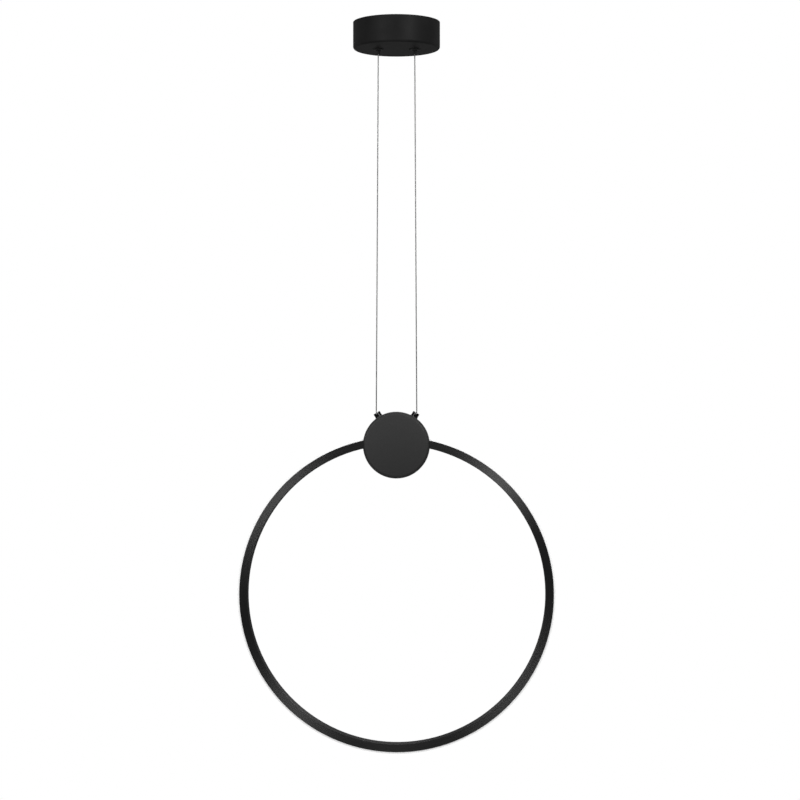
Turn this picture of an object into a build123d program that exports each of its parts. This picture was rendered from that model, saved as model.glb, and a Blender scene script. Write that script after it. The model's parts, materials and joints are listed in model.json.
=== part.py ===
from build123d import *
import math
import os

# LED ring pendant that hangs on two wires, which also carry its current.
# Millimetres, +Z up. The origin is the centre of the ceiling plate's top face,
# the wires leave at +X and -X, and the front of the lamp faces -Y.

os.makedirs("parts", exist_ok=True)

# Gaps that the fits share
FIT = 0.1  # round a part that slides or drops into another
THREAD_FIT = 0.05  # round a screw thread
SEAT = 0.05  # under a part that rests on a small curved face
CURVE_SEAT = 0.3  # tape or play under a part that rests on a face rolled to the ring's radius
END_GAP = 0.3  # between the ends of two stretches of wire
CUT = 1.0  # how far a cutter runs past the surface that it opens

# Screws of one size, used in the driver, the hub lid and the splice
M3_D = 3.0
M3_HEAD_D = 5.4
M3_HEAD_T = 2.0
M3_LID_L = 12.0
HEX_AF = 2.0
HEX_DEPTH = 1.2

# Canopy cup
CANOPY_D = 110.0
CANOPY_H = 34.0
CANOPY_WALL = 1.5
CANOPY_EDGE_R = 3.0

# Ceiling plate, with slots for the ceiling screws and ears for the side screws
PLATE_T = 1.5
PLATE_GAP = 0.4
SLOT_INSET = 16.0
SLOT_L = 16.0
SLOT_W = 4.5
EAR_W = 14.0
EAR_MARGIN = 5.0
SIDE_SCREW_D = 4.0
SIDE_SCREW_L = 9.0
SIDE_SCREW_DROP = 11.0
SIDE_SCREW_SINK = 0.2

# Supply cable grommet, sunk in a dish so that it stays under the ceiling
CABLE_D = 8.0
GROMMET_WALL = 1.5
GROMMET_LIP = 1.8
GROMMET_LIP_T = 1.0
DISH_MARGIN = 1.2
DISH_SINK = 2.0

# Earth screw
EARTH_X = -30.0
EARTH_Y = -20.0
EARTH_D = 4.0
EARTH_HEAD_D = 7.5
EARTH_HEAD_T = 2.4
EARTH_WASHER_D = 10.0
EARTH_WASHER_T = 0.8

# LED driver
DRIVER_FRONT = 13.0
DRIVER_MARGIN = 6.0
DRIVER_WALL_GAP = 4.0
DRIVER_H = 17.0
DRIVER_LID_T = 2.0
DRIVER_LID_STEP = 0.8
DRIVER_EDGE_R = 2.0
DRIVER_SCREW_INSET = 6.0
DRIVER_PORT_DEPTH = 7.0
INPUT_PITCH = 10.0
INPUT_D = 3.0

# Mains terminal block
TERM_POLES = 3
TERM_PITCH = 9.0
TERM_W = 16.0
TERM_H = 13.0
TERM_BACK = -17.0
INSERT_D = 5.6
INSERT_BORE_D = 3.4
INSERT_SETBACK = 1.0
TERM_SCREW_D = 3.0
TERM_SCREW_SINK = 0.8

# Suspension wires and the grippers that hold them
WIRE_D = 1.5
WIRE_BORE_GAP = 0.25
GRIPPER_SPACING = 46.2
STEM_D = 10.0
STEM_H = 16.5
FLANGE_D = 13.5
FLANGE_T = 1.2
BARREL_D = 6.0
BARREL_L = 2.4
NOSE_D = 4.2
NOSE_L = 2.9
NOSE_MOUTH = 0.5
GRIPPER_EDGE_R = 0.5
NUT_AF = 14.0
NUT_H = 4.0
CAP_T = 2.0
CAP_SPIGOT = 2.0
GRIP_BALL_D = 2.0
GRIP_BALL_RISE = 4.0
GRIP_BALLS = 3
GRIP_BALL_GAP = 0.05
CONE_ANGLE = 10.0
SPRING_BORE_D = 6.4
PLUNGER_HEAD_T = 1.0
SPRING_WIRE = 0.6
SPRING_TURNS = 4
TAIL_BEND_SHARE = 0.6
FERRULE_D = 2.5
FERRULE_L = 11.0

# Ring: a channel open outwards, closed by the diffuser
RING_D = 400.0
DIFFUSER_PROUD = 2.25
PROFILE_RADIAL = 10.0
PROFILE_DEPTH = 22.0
PROFILE_WALL = 1.6
PROFILE_EDGE_R = 0.6
BEAD_H = 0.4
BEAD_W = 0.8
BEAD_SINK = 1.2
DIFFUSER_SKIN = 1.6
DIFFUSER_LEG_T = 1.4
DIFFUSER_LEG_L = 4.5
DIFFUSER_EDGE_R = 1.0
RING_GAP = 40.0
STRIP_W = 10.0
STRIP_T = 0.5
STRIP_SETBACK = 5.0
LED_PITCH = 15.0
LED_SIDE = 5.0
LED_H = 1.5

# Hub
HUB_DROP = 535.0
HUB_D = 84.0
HUB_COVER = 4.0
HUB_CROWN = 3.0
HUB_WALL = 2.0
HUB_EDGE_R = 4.5
LID_EDGE_R = 2.5
LID_SPIGOT_L = 2.5
LID_SPIGOT_T = 1.5
RING_INSET = 5.25
NOTCH_GAP = 0.2
NOTCH_SPREAD = 1.3
BOSS_D = 8.0
BOSS_INSET = 11.0
BOSS_ANGLES = (0.0, 137.0, 223.0)

# Splice that joins the ring's two ends and carries them in the hub
SPLICE_W = 16.0
SPLICE_H = 9.0
SPLICE_END_GAP = 3.0
SPLICE_SCREW_PITCH = 24.0
RING_SCREW_SHARES = (0.3, 0.75)

# Terminal block in the hub
HUB_TERM_INSET = 17.0
HUB_TERM_L = 18.0
HUB_TERM_H = 12.0
HUB_TERM_T = 10.0
HUB_TERM_PITCH = 9.0
HUB_TERM_BORE_D = 2.6

# Wire anchors in the hub's rim
ANCHOR_ANGLE = 31.7
ANCHOR_PROUD = 6.0
ANCHOR_D = 9.0
ANCHOR_CHAMFER = 0.4
ANCHOR_STEM_D = 5.0
ANCHOR_STEM_TIP = 1.0
ANCHOR_SLOT_GAP = 0.4
END_BALL_D = 3.4
END_BALL_GAP = 0.2
END_BALL_SINK = 2.6
KINK_RISE = 0.6
BUSH_FLANGE_D = 10.0
BUSH_FLANGE_T = 1.0
BUSH_SLEEVE_D = 7.0
SPOT_DEPTH = 0.5
SPOT_GAP = 0.3
PAD_D = 12.0
PAD_T = 1.5
WASHER_D = 11.0
WASHER_T = 1.0
TAG_D = 9.0
TAG_T = 0.6
TAG_TAIL_L = 10.0
TAG_TAIL_W = 3.5
ANCHOR_NUT_AF = 8.0
ANCHOR_NUT_H = 4.0

# Radii and levels that follow from the sizes above
CANOPY_R = CANOPY_D / 2
CANOPY_IN_R = CANOPY_R - CANOPY_WALL
FLOOR_Z = -CANOPY_H
FLOOR_TOP_Z = FLOOR_Z + CANOPY_WALL
PLATE_R = CANOPY_IN_R - PLATE_GAP
PLATE_LOW_Z = -PLATE_T
SLOT_X = PLATE_R - SLOT_INSET
EAR_X = math.sqrt(PLATE_R**2 - (EAR_W / 2) ** 2)
EAR_DROP = SIDE_SCREW_DROP + EAR_MARGIN
CABLE_R = CABLE_D / 2
PLATE_HOLE_R = CABLE_R + GROMMET_WALL
LIP_R = PLATE_HOLE_R + GROMMET_LIP
DISH_R = LIP_R + DISH_MARGIN
DISH_Z = -DISH_SINK - GROMMET_LIP_T

M3_R = M3_D / 2
M3_HEAD_R = M3_HEAD_D / 2
M3_HOLE_R = M3_R + THREAD_FIT
M3_HEAD_HOLE_R = M3_HEAD_R + FIT

WIRE_R = WIRE_D / 2
WIRE_BORE_R = WIRE_R + WIRE_BORE_GAP
GRIPPER_X = GRIPPER_SPACING / 2
STEM_R = STEM_D / 2
STEM_TOP_Z = FLOOR_TOP_Z + STEM_H
FLANGE_LOW_Z = FLOOR_Z - FLANGE_T
BARREL_LOW_Z = FLANGE_LOW_Z - BARREL_L
EXIT_Z = BARREL_LOW_Z - NOSE_L
CAP_TOP_Z = STEM_TOP_Z + CAP_T
SPRING_TOP_Z = STEM_TOP_Z - CAP_SPIGOT
GRIP_BALL_R = GRIP_BALL_D / 2
GRIP_BALL_Z = FLOOR_Z + GRIP_BALL_RISE
GRIP_BALL_RING_R = WIRE_R + GRIP_BALL_GAP + GRIP_BALL_R
CONE_SLOPE = math.tan(math.radians(CONE_ANGLE))
CONE_BALL_R = GRIP_BALL_RING_R + (GRIP_BALL_R + GRIP_BALL_GAP) / math.cos(math.radians(CONE_ANGLE))
NOSE_R = NOSE_D / 2
NOSE_HOLE_R = NOSE_R + FIT
SPRING_BORE_R = SPRING_BORE_D / 2
CONE_LOW_Z = GRIP_BALL_Z - (CONE_BALL_R - NOSE_HOLE_R) / CONE_SLOPE
CONE_TOP_Z = GRIP_BALL_Z + (SPRING_BORE_R - CONE_BALL_R) / CONE_SLOPE
HEAD_LOW_Z = CONE_TOP_Z + SEAT
HEAD_TOP_Z = HEAD_LOW_Z + PLUNGER_HEAD_T
HEAD_R = SPRING_BORE_R - 2 * FIT
SPRING_R = (SPRING_BORE_R + WIRE_BORE_R) / 2
TAIL_Z = (CAP_TOP_Z + PLATE_LOW_Z) / 2
TAIL_BEND_R = (TAIL_Z - CAP_TOP_Z) * TAIL_BEND_SHARE
TAIL_LOW_Z = EXIT_Z + WIRE_R + END_GAP
FERRULE_R = FERRULE_D / 2

DRIVER_L = GRIPPER_SPACING + 2 * DRIVER_MARGIN
DRIVER_REAR = math.sqrt((CANOPY_IN_R - DRIVER_WALL_GAP) ** 2 - (DRIVER_L / 2) ** 2)
DRIVER_W = DRIVER_REAR - DRIVER_FRONT
DRIVER_MID = (DRIVER_REAR + DRIVER_FRONT) / 2
DRIVER_LOW_Z = PLATE_LOW_Z - DRIVER_H
DRIVER_LID_Z = DRIVER_LOW_Z - DRIVER_LID_T
DRIVER_SCREW_X = DRIVER_L / 2 - DRIVER_SCREW_INSET
DRIVER_SCREW_Y = DRIVER_REAR - DRIVER_SCREW_INSET
DRIVER_SCREWS = [(-DRIVER_SCREW_X, DRIVER_SCREW_Y), (DRIVER_SCREW_X, DRIVER_SCREW_Y)]

TERM_L = TERM_POLES * TERM_PITCH
TERM_MID = TERM_BACK - TERM_W / 2
TERM_LOW_Z = PLATE_LOW_Z - TERM_H
INSERT_Z = PLATE_LOW_Z - TERM_H / 2
INSERT_L = TERM_W - 2 * INSERT_SETBACK
TERM_XS = [(i - (TERM_POLES - 1) / 2) * TERM_PITCH for i in range(TERM_POLES)]

RING_R = RING_D / 2
PROFILE_OUT_R = RING_R - DIFFUSER_PROUD
PROFILE_IN_R = PROFILE_OUT_R - PROFILE_RADIAL
PROFILE_MID_R = (PROFILE_OUT_R + PROFILE_IN_R) / 2
CHANNEL_R = PROFILE_IN_R + PROFILE_WALL
RING_Y = PROFILE_DEPTH / 2
CHANNEL_Y = RING_Y - PROFILE_WALL
STRIP_R = CHANNEL_R + CURVE_SEAT
GAP_HALF = math.degrees(math.asin(RING_GAP / 2 / PROFILE_MID_R))
STRIP_HALF = GAP_HALF + math.degrees(STRIP_SETBACK / STRIP_R)

HUB_R = HUB_D / 2
HUB_IN_R = HUB_R - HUB_WALL
HUB_Z = -HUB_DROP
HUB_TO_RING = PROFILE_MID_R - RING_INSET
RING_Z = HUB_Z - HUB_TO_RING
HUB_FRONT_Y = -RING_Y - HUB_COVER
HUB_INNER_Y = HUB_FRONT_Y + HUB_WALL
HUB_FACE_Y = HUB_FRONT_Y - HUB_CROWN
CROWN_R = (HUB_R**2 + HUB_CROWN**2) / (2 * HUB_CROWN)
HUB_REAR_Y = RING_Y + HUB_COVER
SPLIT_Y = RING_Y + NOTCH_GAP
LID_T = HUB_REAR_Y - SPLIT_Y
BOSS_REACH = HUB_R - BOSS_INSET
BOSS_POINTS = [
    (BOSS_REACH * math.sin(math.radians(a)), BOSS_REACH * math.cos(math.radians(a))) for a in BOSS_ANGLES
]
SPLICE_Y = SPLICE_W / 2
SPLICE_OUT_R = PROFILE_IN_R - CURVE_SEAT
SPLICE_IN_R = SPLICE_OUT_R - SPLICE_H
SPLICE_MID_R = (SPLICE_OUT_R + SPLICE_IN_R) / 2
SPLICE_SCREW_X = SPLICE_SCREW_PITCH / 2
SPLICE_SCREW_Z = math.sqrt(SPLICE_MID_R**2 - SPLICE_SCREW_X**2) - HUB_TO_RING
SPLICE_SCREWS = [(-SPLICE_SCREW_X, SPLICE_SCREW_Z), (SPLICE_SCREW_X, SPLICE_SCREW_Z)]

ANCHOR_R = ANCHOR_D / 2
ANCHOR_STEM_R = ANCHOR_STEM_D / 2
ANCHOR_HOLE_R = ANCHOR_STEM_R + FIT
ANCHOR_REACH = HUB_R + ANCHOR_PROUD
SPOT_REACH = HUB_R - SPOT_DEPTH
SHOULDER_REACH = SPOT_REACH + BUSH_FLANGE_T
PAD_REACH = HUB_IN_R - PAD_T
WASHER_REACH = PAD_REACH - WASHER_T
TAG_REACH = WASHER_REACH - TAG_T
ANCHOR_NUT_REACH = TAG_REACH - ANCHOR_NUT_H
STEM_END_REACH = ANCHOR_NUT_REACH - ANCHOR_STEM_TIP
END_BALL_R = END_BALL_D / 2
POCKET_R = END_BALL_R + END_BALL_GAP
END_BALL_REACH = ANCHOR_REACH - END_BALL_SINK
KINK_REACH = ANCHOR_REACH + KINK_RISE
ANCHOR_SLOT_W = WIRE_D + 2 * ANCHOR_SLOT_GAP
HUB_TERM_DROP = HUB_R - HUB_TERM_INSET
HUB_TERM_XS = (-HUB_TERM_PITCH / 2, HUB_TERM_PITCH / 2)

SIDES = {"left": -1, "right": 1}
FULL_TURN = math.degrees(math.tau)
RING_AXIS = Axis((0, 0, RING_Z), (0, 1, 0))


def save(piece, name):
    piece.part.label = name
    export_step(piece.part, f"parts/{name}.step")


def outline(plane, points, round_at=(), radius=0.0):
    """Face with straight edges on a plane, rounded at the points whose numbers are given."""
    with BuildSketch(plane) as drawn:
        with BuildLine():
            Polyline(*points, close=True)
        make_face()
        corners = [
            corner
            for corner in drawn.vertices()
            if any((Vector(points[i]) - Vector(corner.X, corner.Y)).length < SEAT for i in round_at)
        ]
        if corners:
            fillet(corners, radius=radius)
    return drawn.sketch


def box_points(x0, x1, y0, y1):
    return [(x0, y0), (x1, y0), (x1, y1), (x0, y1)]


def level(z):
    return Plane.XY.offset(z)


def upright(x):
    """Plane for parts turned about the vertical line at x: across is radius, up is Z."""
    return Plane(origin=(x, 0, 0), x_dir=(1, 0, 0), z_dir=(0, -1, 0))


def hub_face(y):
    """Plane parallel to the hub's face, centred on the hub, looking to the front."""
    return Plane(origin=(0, y, HUB_Z), x_dir=(1, 0, 0), z_dir=(0, -1, 0))


def spoke(angle):
    """Unit vector in the XZ plane, turned from straight up towards +X."""
    return Vector(math.sin(math.radians(angle)), 0, math.cos(math.radians(angle)))


def ring_section(angle):
    """Plane across the ring at an angle from its top: across is radius, up is Y."""
    out = spoke(angle)
    return Plane(origin=(0, 0, RING_Z), x_dir=out, z_dir=(-out.Z, 0, out.X))


def ring_spot(angle, radius):
    """Plane that faces out of the ring at an angle and radius."""
    out = spoke(angle)
    return Plane(origin=Vector(0, 0, RING_Z) + out * radius, x_dir=(0, 1, 0), z_dir=out)


def hub_angle(hub_radius, ring_radius):
    """Angle at the ring's centre where two circles round the ring and the hub meet."""
    cosine = (HUB_TO_RING**2 + ring_radius**2 - hub_radius**2) / (2 * HUB_TO_RING * ring_radius)
    return math.degrees(math.acos(cosine))


def anchor_point(side, reach):
    return Vector(0, 0, HUB_Z) + spoke(side * ANCHOR_ANGLE) * reach


def anchor_section(side):
    """Plane through the anchor's axis: across is radius, up is the reach from the hub's centre."""
    out = spoke(side * ANCHOR_ANGLE)
    return Plane(origin=(0, 0, HUB_Z), x_dir=(out.Z, 0, -out.X), z_dir=(0, -1, 0))


def anchor_spot(side, reach):
    """Plane across the anchor's axis, its X axis pointing to the middle of the hub."""
    out = spoke(side * ANCHOR_ANGLE)
    return Plane(origin=anchor_point(side, reach), x_dir=(-side * out.Z, 0, side * out.X), z_dir=out)


NOTCH_HALF = NOTCH_SPREAD * hub_angle(HUB_R, PROFILE_MID_R)
SPLICE_HALF = hub_angle(HUB_IN_R - SPLICE_END_GAP, PROFILE_IN_R)
RING_SCREW_ANGLES = [
    side * (GAP_HALF + share * (SPLICE_HALF - GAP_HALF))
    for side in SIDES.values()
    for share in RING_SCREW_SHARES
]
NOTCH = box_points(
    PROFILE_IN_R - NOTCH_GAP, RING_R + NOTCH_GAP, -RING_Y - NOTCH_GAP, HUB_REAR_Y - LID_T + CUT
)

# Canopy cup: a drawn cup, open at the ceiling
with BuildPart() as canopy_cup:
    with BuildSketch(level(FLOOR_Z)):
        Circle(CANOPY_R)
    extrude(amount=CANOPY_H)
    fillet(canopy_cup.edges().sort_by(Axis.Z)[0], radius=CANOPY_EDGE_R)
    with BuildSketch(level(FLOOR_TOP_Z)):
        Circle(CANOPY_IN_R)
    extrude(amount=CANOPY_H, mode=Mode.SUBTRACT)
    inner_corner = canopy_cup.edges().filter_by_position(Axis.Z, FLOOR_TOP_Z - SEAT, FLOOR_TOP_Z + SEAT)
    fillet(inner_corner, radius=CANOPY_EDGE_R - CANOPY_WALL)
    with BuildSketch(level(FLOOR_Z - CUT)):
        with Locations((-GRIPPER_X, 0), (GRIPPER_X, 0)):
            Circle(STEM_R + FIT)
    extrude(amount=CANOPY_WALL + 2 * CUT, mode=Mode.SUBTRACT)
    with BuildSketch(Plane.YZ):
        with Locations((0, -SIDE_SCREW_DROP)):
            Circle(SIDE_SCREW_D / 2 + FIT)
    extrude(amount=CANOPY_R + CUT, both=True, mode=Mode.SUBTRACT)
save(canopy_cup, "canopy_cup")

# Ceiling plate: a pressed disc with a dished middle and two folded ears
with BuildPart() as ceiling_plate:
    revolve(
        outline(
            upright(0),
            [
                (PLATE_HOLE_R, DISH_Z - PLATE_T),
                (DISH_R + PLATE_T, DISH_Z - PLATE_T),
                (DISH_R + PLATE_T, PLATE_LOW_Z),
                (PLATE_R, PLATE_LOW_Z),
                (PLATE_R, 0),
                (DISH_R, 0),
                (DISH_R, DISH_Z),
                (PLATE_HOLE_R, DISH_Z),
            ],
        ),
        axis=Axis.Z,
    )
    with BuildSketch(level(-EAR_DROP)):
        for side in SIDES.values():
            with Locations((side * (EAR_X - PLATE_T / 2), 0)):
                Rectangle(PLATE_T, EAR_W)
    extrude(amount=EAR_DROP)
    with BuildSketch(level(CUT)):
        with Locations((-SLOT_X, 0), (SLOT_X, 0)):
            SlotOverall(SLOT_L, SLOT_W)
        with Locations(*DRIVER_SCREWS):
            Circle(M3_HOLE_R)
        with Locations((EARTH_X, EARTH_Y)):
            Circle(EARTH_D / 2 + THREAD_FIT)
    extrude(amount=-PLATE_T - 2 * CUT, mode=Mode.SUBTRACT)
    with BuildSketch(Plane.YZ):
        with Locations((0, -SIDE_SCREW_DROP)):
            Circle(SIDE_SCREW_D / 2 + THREAD_FIT)
    extrude(amount=CANOPY_R, both=True, mode=Mode.SUBTRACT)
save(ceiling_plate, "ceiling_plate")

# Two headless screws, just under the cup's wall, that hold the cup on the ears
with BuildPart() as canopy_side_screws:
    for side in SIDES.values():
        with BuildSketch(Plane.YZ.offset(side * (CANOPY_R - SIDE_SCREW_SINK))):
            with Locations((0, -SIDE_SCREW_DROP)):
                Circle(SIDE_SCREW_D / 2)
        extrude(amount=-side * SIDE_SCREW_L)
        with BuildSketch(Plane.YZ.offset(side * (CANOPY_R - SIDE_SCREW_SINK))):
            with Locations((0, -SIDE_SCREW_DROP)):
                RegularPolygon(HEX_AF / 2, 6, major_radius=False)
        extrude(amount=-side * HEX_DEPTH, mode=Mode.SUBTRACT)
save(canopy_side_screws, "canopy_side_screws")

# Rubber grommet in the plate's dish
with BuildPart() as cable_grommet:
    revolve(
        outline(
            upright(0),
            [
                (CABLE_R, DISH_Z - PLATE_T - GROMMET_LIP_T),
                (LIP_R, DISH_Z - PLATE_T - GROMMET_LIP_T),
                (LIP_R, DISH_Z - PLATE_T),
                (PLATE_HOLE_R - FIT, DISH_Z - PLATE_T),
                (PLATE_HOLE_R - FIT, DISH_Z),
                (LIP_R, DISH_Z),
                (LIP_R, -DISH_SINK),
                (CABLE_R, -DISH_SINK),
            ],
        ),
        axis=Axis.Z,
    )
save(cable_grommet, "cable_grommet")

# Earth screw and its washer under the plate
with BuildPart() as earth_washer:
    with BuildSketch(level(PLATE_LOW_Z)):
        with Locations((EARTH_X, EARTH_Y)):
            Circle(EARTH_WASHER_D / 2)
            Circle(EARTH_D / 2 + FIT, mode=Mode.SUBTRACT)
    extrude(amount=-EARTH_WASHER_T)
save(earth_washer, "earth_washer")

with BuildPart() as earth_screw:
    with BuildSketch(level(PLATE_LOW_Z - EARTH_WASHER_T)):
        with Locations((EARTH_X, EARTH_Y)):
            Circle(EARTH_HEAD_D / 2)
    extrude(amount=-EARTH_HEAD_T)
    with BuildSketch(level(PLATE_LOW_Z - EARTH_WASHER_T)):
        with Locations((EARTH_X, EARTH_Y)):
            Circle(EARTH_D / 2)
    extrude(amount=EARTH_WASHER_T + PLATE_T - END_GAP)
    with BuildSketch(level(PLATE_LOW_Z - EARTH_WASHER_T - EARTH_HEAD_T)):
        with Locations((EARTH_X, EARTH_Y)):
            RegularPolygon(HEX_AF / 2, 6, major_radius=False)
    extrude(amount=HEX_DEPTH, mode=Mode.SUBTRACT)
save(earth_screw, "earth_screw")

# LED driver: a potted case that fills the rear half of the canopy, and its lid
with BuildPart() as driver_case:
    with BuildSketch(level(PLATE_LOW_Z)):
        with Locations((0, DRIVER_MID)):
            RectangleRounded(DRIVER_L, DRIVER_W, DRIVER_EDGE_R)
        with Locations(*DRIVER_SCREWS):
            Circle(M3_R + FIT, mode=Mode.SUBTRACT)
    extrude(amount=-DRIVER_H)
    with BuildSketch(Plane.XZ.offset(-DRIVER_FRONT)):
        with Locations((-GRIPPER_X, TAIL_Z), (GRIPPER_X, TAIL_Z)):
            Circle(FERRULE_R + FIT)
        with Locations((-INPUT_PITCH / 2, TAIL_Z), (INPUT_PITCH / 2, TAIL_Z)):
            Circle(INPUT_D / 2)
    extrude(amount=-DRIVER_PORT_DEPTH, mode=Mode.SUBTRACT)
save(driver_case, "driver_case")

with BuildPart() as driver_lid:
    with BuildSketch(level(DRIVER_LOW_Z)):
        with Locations((0, DRIVER_MID)):
            RectangleRounded(DRIVER_L - 2 * DRIVER_LID_STEP, DRIVER_W - 2 * DRIVER_LID_STEP, DRIVER_EDGE_R)
        with Locations(*DRIVER_SCREWS):
            Circle(M3_R + FIT, mode=Mode.SUBTRACT)
    extrude(amount=-DRIVER_LID_T)
save(driver_lid, "driver_lid")

with BuildPart() as driver_screws:
    with BuildSketch(level(DRIVER_LID_Z)):
        with Locations(*DRIVER_SCREWS):
            Circle(M3_HEAD_R)
    extrude(amount=-M3_HEAD_T)
    with BuildSketch(level(DRIVER_LID_Z)):
        with Locations(*DRIVER_SCREWS):
            Circle(M3_R)
    extrude(amount=-DRIVER_LID_Z - END_GAP)
    with BuildSketch(level(DRIVER_LID_Z - M3_HEAD_T)):
        with Locations(*DRIVER_SCREWS):
            RegularPolygon(HEX_AF / 2, 6, major_radius=False)
    extrude(amount=HEX_DEPTH, mode=Mode.SUBTRACT)
save(driver_screws, "driver_screws")

# Mains terminal block with brass inserts and clamping screws
with BuildPart() as mains_terminal_block:
    with BuildSketch(level(PLATE_LOW_Z)):
        with Locations((0, TERM_MID)):
            Rectangle(TERM_L, TERM_W)
    extrude(amount=-TERM_H)
    with BuildSketch(Plane.XZ.offset(-TERM_BACK + CUT + TERM_W)):
        with Locations(*[(x, INSERT_Z) for x in TERM_XS]):
            Circle(INSERT_D / 2 + THREAD_FIT)
    extrude(amount=-TERM_W - 2 * CUT, mode=Mode.SUBTRACT)
    with BuildSketch(level(TERM_LOW_Z)):
        with Locations(*[(x, TERM_MID) for x in TERM_XS]):
            Circle(TERM_SCREW_D / 2 + FIT)
    extrude(amount=INSERT_Z - TERM_LOW_Z, mode=Mode.SUBTRACT)
save(mains_terminal_block, "mains_terminal_block")

with BuildPart() as mains_terminal_inserts:
    with BuildSketch(Plane.XZ.offset(-TERM_MID + INSERT_L / 2)):
        with Locations(*[(x, INSERT_Z) for x in TERM_XS]):
            Circle(INSERT_D / 2)
            Circle(INSERT_BORE_D / 2, mode=Mode.SUBTRACT)
    extrude(amount=-INSERT_L)
    with BuildSketch(level(INSERT_Z - INSERT_D)):
        with Locations(*[(x, TERM_MID) for x in TERM_XS]):
            Circle(TERM_SCREW_D / 2 + THREAD_FIT)
    extrude(amount=INSERT_D, mode=Mode.SUBTRACT)
save(mains_terminal_inserts, "mains_terminal_inserts")

with BuildPart() as mains_terminal_screws:
    with BuildSketch(level(TERM_LOW_Z + TERM_SCREW_SINK)):
        with Locations(*[(x, TERM_MID) for x in TERM_XS]):
            Circle(TERM_SCREW_D / 2)
    extrude(amount=INSERT_Z - TERM_LOW_Z - TERM_SCREW_SINK - END_GAP)
save(mains_terminal_screws, "mains_terminal_screws")


def build_gripper(name, side):
    """Ball-lock gripper: the plunger carries three balls down a cone onto the wire."""
    x = side * GRIPPER_X
    plane = upright(x)
    axis = Axis((x, 0, 0), (0, 0, 1))

    with BuildPart() as gripper_body:
        revolve(
            outline(
                plane,
                [
                    (BARREL_D / 2, BARREL_LOW_Z),
                    (BARREL_D / 2, FLANGE_LOW_Z),
                    (FLANGE_D / 2, FLANGE_LOW_Z),
                    (FLANGE_D / 2, FLOOR_Z),
                    (STEM_R, FLOOR_Z),
                    (STEM_R, STEM_TOP_Z),
                    (SPRING_BORE_R, STEM_TOP_Z),
                    (SPRING_BORE_R, CONE_TOP_Z),
                    (NOSE_HOLE_R, CONE_LOW_Z),
                    (NOSE_HOLE_R, BARREL_LOW_Z),
                ],
                round_at=(0, 2),
                radius=GRIPPER_EDGE_R,
            ),
            axis=axis,
        )
    save(gripper_body, f"gripper_body_{name}")

    with BuildPart() as gripper_cap:
        revolve(
            outline(
                plane,
                [
                    (WIRE_BORE_R, SPRING_TOP_Z),
                    (SPRING_BORE_R - THREAD_FIT, SPRING_TOP_Z),
                    (SPRING_BORE_R - THREAD_FIT, STEM_TOP_Z),
                    (STEM_R, STEM_TOP_Z),
                    (STEM_R, CAP_TOP_Z),
                    (WIRE_BORE_R, CAP_TOP_Z),
                ],
            ),
            axis=axis,
        )
    save(gripper_cap, f"gripper_cap_{name}")

    with BuildPart() as gripper_nut:
        with BuildSketch(level(FLOOR_TOP_Z)):
            with Locations((x, 0)):
                RegularPolygon(NUT_AF / 2, 6, major_radius=False)
                Circle(STEM_R + THREAD_FIT, mode=Mode.SUBTRACT)
        extrude(amount=NUT_H)
    save(gripper_nut, f"gripper_nut_{name}")

    with BuildPart() as gripper_plunger:
        revolve(
            outline(
                plane,
                [
                    (WIRE_BORE_R + NOSE_MOUTH, EXIT_Z),
                    (NOSE_R, EXIT_Z),
                    (NOSE_R, HEAD_LOW_Z),
                    (HEAD_R, HEAD_LOW_Z),
                    (HEAD_R, HEAD_TOP_Z),
                    (WIRE_BORE_R, HEAD_TOP_Z),
                    (WIRE_BORE_R, EXIT_Z + NOSE_MOUTH),
                ],
                round_at=(1,),
                radius=GRIPPER_EDGE_R,
            ),
            axis=axis,
        )
        for i in range(GRIP_BALLS):
            turn = math.tau * i / GRIP_BALLS
            out = Vector(math.cos(turn), math.sin(turn), 0)
            with BuildSketch(Plane(origin=(x, 0, GRIP_BALL_Z), z_dir=out)):
                Circle(GRIP_BALL_R + FIT)
            extrude(amount=SPRING_BORE_R, mode=Mode.SUBTRACT)
    save(gripper_plunger, f"gripper_plunger_{name}")

    with BuildPart() as gripper_balls:
        with Locations((x, 0, GRIP_BALL_Z)):
            with PolarLocations(GRIP_BALL_RING_R, GRIP_BALLS):
                Sphere(GRIP_BALL_R)
    save(gripper_balls, f"gripper_balls_{name}")

    coil_h = SPRING_TOP_Z - HEAD_TOP_Z - SPRING_WIRE - 2 * SEAT
    coil_low = HEAD_TOP_Z + SEAT + SPRING_WIRE / 2
    with BuildPart() as gripper_spring:
        with BuildLine() as coil:
            Helix(pitch=coil_h / SPRING_TURNS, height=coil_h, radius=SPRING_R, center=(x, 0, coil_low))
        with BuildSketch(Plane(origin=(x + SPRING_R, 0, coil_low), x_dir=(1, 0, 0), z_dir=(0, 1, 0))):
            Rectangle(SPRING_WIRE, SPRING_WIRE)
        sweep(path=coil.wires()[0], is_frenet=True)
    save(gripper_spring, f"gripper_spring_{name}")


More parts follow.
